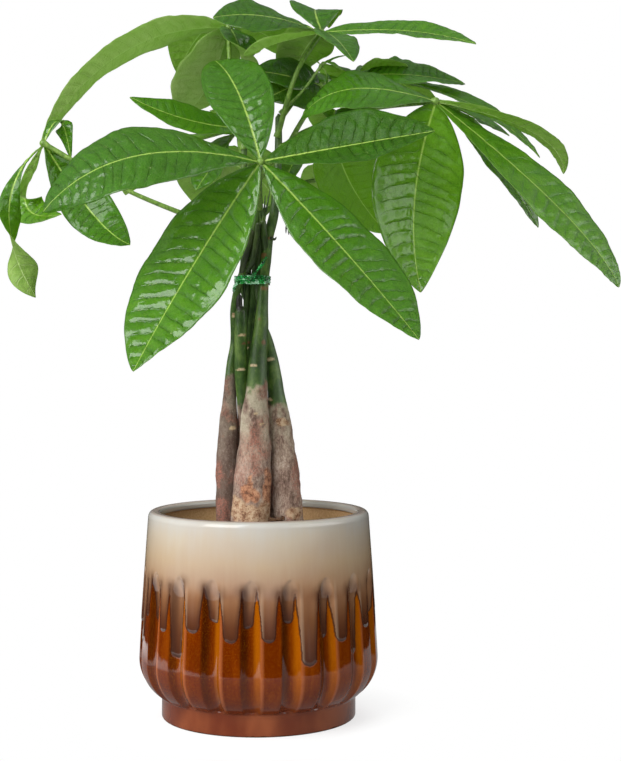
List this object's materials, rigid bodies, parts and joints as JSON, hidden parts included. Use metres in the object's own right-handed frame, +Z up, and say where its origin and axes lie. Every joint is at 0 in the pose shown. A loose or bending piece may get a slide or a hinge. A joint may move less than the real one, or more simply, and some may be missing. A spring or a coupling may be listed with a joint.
{
  "type": "potted money tree",
  "caption": "Young money tree of braided seedlings tied with green foil, with palmate leaves, in a fluted drip-glazed stoneware pot.",
  "frame": {"origin": "the middle of the pot's flat underside", "axes": "+Z is up, and the front leaf faces -Y with +X to its right"},
  "size_m": [0.4195, 0.336, 0.5081],
  "materials": {
    "glaze": "gloss",
    "soil": "matte",
    "bark": "matte",
    "leaf": "satin",
    "foil": "gloss"
  },
  "bodies": {
    "root": {"pot": "glaze", "soil": "soil", "trunk_1": "bark", "trunk_2": "bark", "trunk_3": "bark", "trunk_4": "bark", "trunk_5": "bark", "tie": "foil", "leaf_01": "leaf", "leaf_02": "leaf", "leaf_03": "leaf", "leaf_04": "leaf", "leaf_05": "leaf", "leaf_06": "leaf", "leaf_07": "leaf", "leaf_08": "leaf", "leaf_09": "leaf", "leaf_10": "leaf", "leaf_11": "leaf", "leaf_12": "leaf"}
  },
  "joints": []
}
